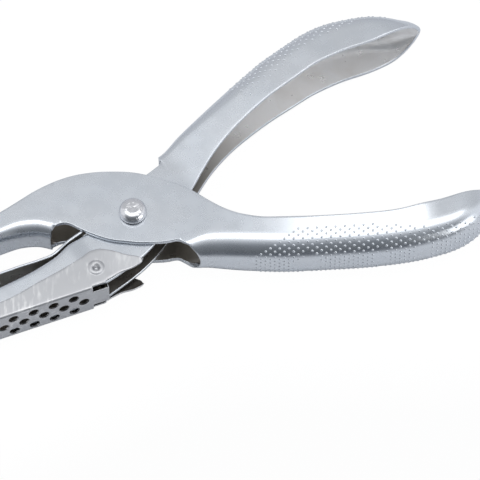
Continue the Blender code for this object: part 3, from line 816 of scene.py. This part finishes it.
def make_stripper_plate():
    """Bent strip with its paper-guide tab, the hole the punch passes through and two rivet holes."""
    line = smooth_curve(STRIP_LINE)
    place = in_frame(DIE_TILT)
    us = rows_between(-45.0, -12.9, 0.45)
    across = np.linspace(-1.0, 1.0, 15)
    vertices, faces = [], []
    for u in us:
        half = strip_half_width(u)
        vertices.extend(place(u, float(line(u)), float(half * t)) for t in across)
    width = len(across)
    for i in range(len(us) - 1):
        for j in range(width - 1):
            a = i * width + j
            faces.append((a, a + 1, a + width + 1, a + width))
    obj = link("stripper_plate_bent", mesh_from("stripper_plate_bent", vertices, faces))
    up = Vector(place(0.0, 1.0, 0.0) - place(0.0, 0.0, 0.0))
    holes = [((*PUNCH_TIP, MID_Z), punch_direction(), STRIP_HOLE_R)]
    holes += [strip_rivet_hole(u) for u in STRIP_RIVET_U]

    def faces_down(bm):
        return sum((f.normal for f in bm.faces), Vector()).dot(up) < 0.0

    thicken(obj, STRIP_SHEET, faces_down, holes)
    shade(obj)
    return obj


def spring_path():
    """Points along the wire: a leg in the punch handle, the coil, and a leg in the die handle."""
    head = turned(SPRING_HEAD, DIE_TILT)

    def tangent(point, sense):
        return math.atan2(point[1], point[0]) + sense * math.acos(COIL_R / math.hypot(*point))

    start, end = tangent(SPRING_FOOT, -1.0), tangent(head, 1.0)
    sweep = (start - end) % (2 * math.pi) + 2 * math.pi * COIL_WHOLE_TURNS
    count = 180
    coil = []
    for k in range(count + 1):
        angle = start - sweep * k / count
        coil.append(Vector((COIL_R * math.cos(angle), COIL_R * math.sin(angle),
                            COIL_HALF - 2 * COIL_HALF * k / count)))
    foot = Vector((*SPRING_FOOT, COIL_HALF))
    path = [foot.lerp(coil[0], k / 24) for k in range(24)] + coil
    tail = Vector((*head, -COIL_HALF))
    path += [coil[-1].lerp(tail, k / 16) for k in range(1, 17)]
    return [(p + Vector((0, 0, MID_Z))) * MM for p in path]


def make_return_spring():
    """Round wire swept along the spring's path, with rounded ends."""
    path = spring_path()
    segments = 16
    vertices = []
    tangents = [(b - a).normalized() for a, b in zip(path, path[1:])]
    tangents.append(tangents[-1])
    side = Vector((0, 0, 1))
    rings = [(path[0], tangents[0], 0.45, -0.8), (path[0], tangents[0], 0.85, -0.4)]
    rings += [(p, t, 1.0, 0.0) for p, t in zip(path, tangents)]
    rings += [(path[-1], tangents[-1], 0.85, 0.4), (path[-1], tangents[-1], 0.45, 0.8)]
    for point, tangent, scale, ahead in rings:
        across = tangent.cross(side).normalized()
        upward = across.cross(tangent).normalized()
        centre = point + tangent * ahead * WIRE_R * 0.5 * MM
        for k in range(segments):
            a = 2 * math.pi * k / segments
            vertices.append(centre + (across * math.cos(a) + upward * math.sin(a)) * WIRE_R * scale * MM)
    faces = ring_faces(0, len(rings), segments)
    faces.append(tuple(range(segments)))
    faces.append(tuple(range(len(vertices) - segments, len(vertices))))
    obj = link("return_spring_wire", mesh_from("return_spring_wire", vertices, faces))
    face_outwards(obj)
    shade(obj, 50.0)
    return obj


# ---------- stage, light, camera

# The room's radiance by the angle from straight up: 0 is up, 90 in front, -90 behind.
ROOM = ((-180.0, (0.6, 0.6, 0.62)), (-88.0, (0.5, 0.51, 0.54)), (-60.0, (0.58, 0.595, 0.63)),
        (-38.0, (0.56, 0.575, 0.595)), (-22.0, (0.64, 0.655, 0.68)), (-10.0, (0.93, 0.95, 0.97)),
        (8.0, (0.91, 0.93, 0.96)), (24.0, (0.5, 0.52, 0.55)), (45.0, (0.2, 0.215, 0.235)),
        (88.0, (0.12, 0.13, 0.14)), (180.0, (0.3, 0.3, 0.3)))
SIDE_WALLS = (0.85, 0.87, 0.91)


def make_camera():
    """Long lens, 60 degrees above the table, square to the tool's length."""
    target = Vector((26.9, -7.94, MID_Z + 5.35)) * MM
    elevation = math.radians(60.0)
    width, lens, sensor = 120.0 * MM, 300.0, 36.0
    distance = width * lens / sensor
    data = bpy.data.cameras.new("camera")
    data.lens = lens
    data.sensor_width = sensor
    data.clip_start, data.clip_end = 0.01, 20.0
    camera = link("camera", data)
    back = Vector((0.0, -math.cos(elevation), math.sin(elevation)))
    camera.location = target + back * distance
    camera.rotation_euler = (-back).to_track_quat("-Z", "Y").to_euler()
    bpy.context.scene.camera = camera


def make_stage():
    half = 1.5
    corners = [(x * half, y * half, -2e-5) for x, y in ((-1, -1), (1, -1), (1, 1), (-1, 1))]
    floor = link("floor", mesh_from("floor", corners, [(0, 1, 2, 3)]))
    floor.data.materials.append(floor_paper("floor"))


def make_light():
    """A pale room with a dark front wall, and two softboxes."""
    scene = bpy.context.scene
    scene.view_settings.view_transform = "Standard"
    scene.world = bpy.data.worlds.new("studio")
    scene.world.use_nodes = True
    room = Tree(scene.world.node_tree, "Generated")
    x, y, z = room.split()

    # The angle from straight up towards the front, from -180 to 180 degrees, as a share of a turn.
    angle = room.math("ARCTAN2", room.math("MULTIPLY", y, -1.0), z)
    bands = room.add("ValToRGB")
    room.links.new(room.ramp(angle, -math.pi, math.pi), bands.inputs["Fac"])
    elements = bands.color_ramp.elements
    while len(elements) < len(ROOM):
        elements.new(0.5)
    for element, (degrees, color) in zip(elements, ROOM):
        element.position = (degrees + 180.0) / 360.0
        element.color = (*color, 1.0)

    # Pale walls to both sides, which light the inside of the handles.
    walls = room.ramp(room.math("ABSOLUTE", x, 0.0), 0.7, 0.88)
    color = room.mix(walls, bands.outputs["Color"], SIDE_WALLS)
    room.links.new(color, room.nodes["Background"].inputs["Color"])

    softbox("softbox_top", (20.0, 40.0, 450.0), (520.0, 220.0), 1.16)
    softbox("softbox_right", (450.0, -300.0, 120.0), (340.0, 260.0), 1.7)


def softbox(name, place, size, radiance):
    """Area light over the tool, facing the pivot, in millimetres. radiance is what a mirror would see."""
    data = bpy.data.lights.new(name, "AREA")
    data.shape = "RECTANGLE"
    data.size, data.size_y = size[0] * MM, size[1] * MM
    data.energy = radiance * math.pi * data.size * data.size_y
    light = link(name, data)
    light.location = Vector(place) * MM
    towards = (Vector((20.0, 0.0, MID_Z)) * MM - light.location).normalized()
    light.rotation_euler = towards.to_track_quat("-Z", "Y").to_euler()
    light.visible_camera = False


class Tree:
    """Helpers that add nodes to a material's or the world's node tree."""

    def __init__(self, tree, space):
        self.nodes, self.links = tree.nodes, tree.links
        self.coordinate = self.add("TexCoord").outputs[space]

    def add(self, kind, **values):
        """Add a shader node, with the values of some of its inputs."""
        node = self.nodes.new("ShaderNode" + kind)
        for socket, value in values.items():
            node.inputs[socket.replace("_", " ")].default_value = value
        return node

    def split(self):
        """X, Y and Z of the coordinate."""
        node = self.add("SeparateXYZ")
        self.links.new(self.coordinate, node.inputs[0])
        return node.outputs

    def noise(self, per_metre, detail=3.0, stretch=(1.0, 1.0, 1.0), turn=0.0, distortion=0.0):
        """Noise with about per_metre blotches to the metre, squeezed along each axis by stretch."""
        mapping = self.add("Mapping", Scale=stretch, Rotation=(0.0, 0.0, math.radians(turn)))
        self.links.new(self.coordinate, mapping.inputs["Vector"])
        node = self.add("TexNoise", Scale=per_metre, Detail=detail, Distortion=distortion)
        self.links.new(mapping.outputs["Vector"], node.inputs["Vector"])
        return node.outputs["Fac"]

    def ramp(self, value, low, high, start=0.0, end=1.0):
        """Map a value from low..high to start..end, and hold it beyond them."""
        node = self.add("MapRange", From_Min=low, From_Max=high, To_Min=start, To_Max=end)
        self.links.new(value, node.inputs["Value"])
        return node.outputs["Result"]

    def math(self, operation, a, b):
        node = self.add("Math")
        node.operation = operation
        for socket, value in zip(node.inputs, (a, b)):
            if isinstance(value, float):
                socket.default_value = value
            else:
                self.links.new(value, socket)
        return node.outputs[0]

    def mix(self, share, color_a, color_b):
        """Blend two colours, or a colour output and a colour, by a share."""
        node = self.add("Mix")
        node.data_type = "RGBA"
        self.links.new(share, node.inputs["Factor"])
        for socket, color in ((node.inputs[6], color_a), (node.inputs[7], color_b)):
            if isinstance(color, tuple):
                socket.default_value = (*color, 1.0)
            else:
                self.links.new(color, socket)
        return node.outputs[2]


class Finish(Tree):
    """A material whose roughness, colour and relief come from a few noise layers."""

    def __init__(self, name, color, roughness, metallic=1.0):
        self.material = bpy.data.materials.new(name)
        self.material.use_nodes = True
        super().__init__(self.material.node_tree, "Object")
        self.shader = self.nodes["Principled BSDF"]
        inputs = self.shader.inputs
        inputs["Base Color"].default_value = (*color, 1.0)
        inputs["Metallic"].default_value = metallic
        inputs["Roughness"].default_value = roughness
        self.normal = None

    def set(self, socket, value):
        self.links.new(value, self.shader.inputs[socket])

    def relief(self, height, depth_mm):
        """Add a bump layer that is depth_mm deep where height goes from 0 to 1."""
        bump = self.add("Bump", Strength=1.0, Distance=depth_mm * MM)
        self.links.new(height, bump.inputs["Height"])
        if self.normal is not None:
            self.links.new(self.normal, bump.inputs["Normal"])
        self.normal = bump.outputs["Normal"]
        self.links.new(self.normal, self.shader.inputs["Normal"])


def plated_steel(name, color, cloudy, roughness):
    """Satin nickel plating: clouded, faintly grained, with shallow waves left by the press."""
    finish = Finish(name, color, roughness)
    clouds = finish.noise(90.0, 4.0)
    grain = finish.noise(2600.0, 2.0)
    finish.set("Base Color", finish.mix(finish.ramp(clouds, 0.35, 0.68), color, cloudy))
    haze = finish.ramp(finish.noise(240.0, 5.0), 0.3, 0.75, roughness - 0.03, roughness + 0.04)
    finish.set("Roughness", finish.math("ADD", haze, finish.ramp(grain, 0.3, 0.7, -0.01, 0.01)))
    finish.relief(finish.noise(55.0, 1.0), 0.014)
    finish.relief(grain, 0.0002)
    return finish.material


def raw_inside(name, color, stain, painted_shade=0.0):
    """The inside of a stamping: duller plating with stains, and painted shade that turns it dark brown in
    the jaws and by the pivot.
    """
    finish = Finish(name, color, 0.3, 0.7)
    stains = finish.noise(130.0, 5.0, distortion=0.6)
    tint = finish.mix(finish.ramp(stains, 0.42, 0.72), color, stain)
    if painted_shade:
        distance = finish.add("VectorMath")
        distance.operation = "LENGTH"
        finish.links.new(finish.coordinate, distance.inputs[0])
        shade_by_pivot = finish.ramp(distance.outputs["Value"], 0.016, 0.045, painted_shade, 0.0)
        shade_in_jaws = finish.ramp(finish.split()["X"], -0.006, 0.006, painted_shade, 0.0)
        # Painted shade: the inside turns dark brown towards the pivot and into the jaws, where the hollows
        # lie in shadow.
        tint = finish.mix(finish.math("MAXIMUM", shade_by_pivot, shade_in_jaws), tint, (0.17, 0.145, 0.11))
    finish.set("Base Color", tint)
    finish.set("Roughness", finish.ramp(finish.noise(400.0, 4.0), 0.3, 0.7, 0.26, 0.42))
    finish.relief(finish.noise(70.0, 1.0), 0.05)
    return finish.material


def frosted_tray(name):
    """The chip tray's softer satin plating, rubbed and scratched along its walls."""
    color, rubbed = (0.585, 0.59, 0.605), (0.85, 0.85, 0.85)
    finish = Finish(name, color, 0.36)
    streaks = finish.noise(900.0, 3.0, (1.0, 0.22, 1.0), -12.0)
    patches = finish.ramp(finish.noise(120.0, 3.0), 0.46, 0.66)
    rubs = finish.math("MULTIPLY", finish.ramp(streaks, 0.5, 0.68), patches)
    finish.set("Base Color", finish.mix(rubs, color, rubbed))
    haze = finish.ramp(finish.noise(300.0, 4.0), 0.3, 0.7, 0.32, 0.44)
    finish.set("Roughness", finish.math("ADD", haze, finish.math("MULTIPLY", rubs, 0.12)))
    finish.relief(finish.noise(80.0, 1.0), 0.04)
    finish.relief(streaks, 0.004)
    return finish.material


def hammered_rivet(name):
    """Bright rivet heads, dappled by the riveting tool."""
    finish = Finish(name, (0.78, 0.78, 0.8), 0.2)
    dapple = finish.noise(900.0, 2.0, distortion=0.8)
    finish.set("Roughness", finish.ramp(dapple, 0.3, 0.7, 0.14, 0.32))
    finish.relief(dapple, 0.09)
    finish.relief(finish.noise(3200.0, 2.0), 0.004)
    return finish.material


def ground_steel(name, color):
    """Turned and ground tool steel, with fine rings left by the wheel."""
    finish = Finish(name, color, 0.24)
    rings = finish.noise(4200.0, 2.0, (1.0, 0.06, 0.06))
    finish.set("Roughness", finish.ramp(rings, 0.3, 0.7, 0.16, 0.36))
    finish.relief(rings, 0.003)
    return finish.material


def spring_wire(name):
    color = (0.42, 0.41, 0.42)
    finish = Finish(name, color, 0.32)
    scale = finish.noise(1500.0, 3.0)
    dark = finish.ramp(scale, 0.4, 0.7)
    finish.set("Base Color", finish.mix(dark, color, (0.26, 0.24, 0.24)))
    finish.set("Roughness", finish.ramp(scale, 0.3, 0.7, 0.26, 0.4))
    return finish.material


def floor_paper(name):
    """White sweep, shown white to the camera, and dark in front: painted shade that the metal reflects."""
    finish = Finish(name, (0.72, 0.72, 0.73), 0.9, 0.0)
    links = finish.links
    x, y, _ = finish.split()
    # Painted shade: the floor's colour turns dark in front of the tool, seen only in the metal's
    # reflections.
    slope = finish.math("MULTIPLY", finish.math("MINIMUM", x, 0.02), -0.5)
    front = finish.ramp(finish.math("ADD", y, slope), -0.06, -0.034, 1.0, 0.0)
    finish.set("Base Color", finish.mix(front, (0.82, 0.83, 0.85), (0.12, 0.13, 0.15)))
    white = finish.add("Emission", Color=(1.0, 1.0, 1.0, 1.0), Strength=1.03)
    ray = finish.add("LightPath")
    seen = finish.math("MULTIPLY", ray.outputs["Is Camera Ray"], 0.95)
    blend = finish.add("MixShader")
    links.new(seen, blend.inputs["Fac"])
    links.new(finish.shader.outputs["BSDF"], blend.inputs[1])
    links.new(white.outputs["Emission"], blend.inputs[2])
    links.new(blend.outputs["Shader"], finish.nodes["Material Output"].inputs["Surface"])
    return finish.material


def finish_piece(obj, body, materials, replaced):
    for i, material in enumerate(materials):
        if i < len(obj.data.materials):
            obj.data.materials[i] = material
        else:
            obj.data.materials.append(material)
    if body:
        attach(obj, body)
    if replaced:
        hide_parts(*replaced)


def main():
    plated = plated_steel("plated_steel", (0.73, 0.765, 0.81), (0.76, 0.785, 0.82), 0.27)
    # Inner faces: rougher, duller plating. The near-white base colour is painted light that lifts the
    # shaded insides of the levers. Painted shade darkens it by the pivot and in the jaws.
    inside = raw_inside("plated_steel_inside_painted_light_and_shade", (0.98, 0.975, 0.97), (0.88, 0.86, 0.84), 0.85)
    tray = frosted_tray("tray_plate")
    # The tray's inner faces: a near-black base colour, painted shade that makes its notch and holes look
    # dark.
    tray_inside_painted_shade = raw_inside("tray_plate_inside_painted_shade", (0.07, 0.068, 0.066), (0.04, 0.038, 0.036), 0.3)
    rivet = hammered_rivet("rivet_plate")
    tool = ground_steel("tool_steel", (0.58, 0.58, 0.6))
    wire = spring_wire("spring_steel")
    make_camera()
    make_stage()
    make_light()
    pieces = ((make_punch_lever, PUNCH, [plated, inside], "punch_lever", "lever_plate"),
              (make_die_lever, DIE, [plated, inside], "die_lever", "lever_plate"),
              (make_chip_tray, TRAY, [tray, tray_inside_painted_shade], "chip_tray", "tray_plate"),
              (make_pivot_rivet, PUNCH, [rivet], "pivot_rivet", "rivet_plate"),
              (make_pivot_bushing, PUNCH, [tool], "pivot_bushing", "tool_steel"),
              (make_punch_pin, PUNCH, [tool], "punch_pin", "tool_steel"),
              (make_stripper_plate, DIE, [plated, inside], "stripper_plate", "lever_plate"))
    for make, body, materials, node, slot in pieces:
        finish_piece(make(), body, materials, [node])
    for name, u in zip(("stripper_rivet_front", "stripper_rivet_rear"), STRIP_RIVET_U):
        finish_piece(make_strip_rivet(name + "_domed", u), DIE, [rivet], [name])
    spring = make_return_spring()
    finish_piece(spring, None, [wire], ["return_spring"])
    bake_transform(spring)
    for name, skin, body, rows in grip_dots():
        finish_piece(make_dots(name, skin, rows), body, [plated], [])
    for side in SIDES:
        bpy.data.materials.remove(bpy.data.materials[side])


main()
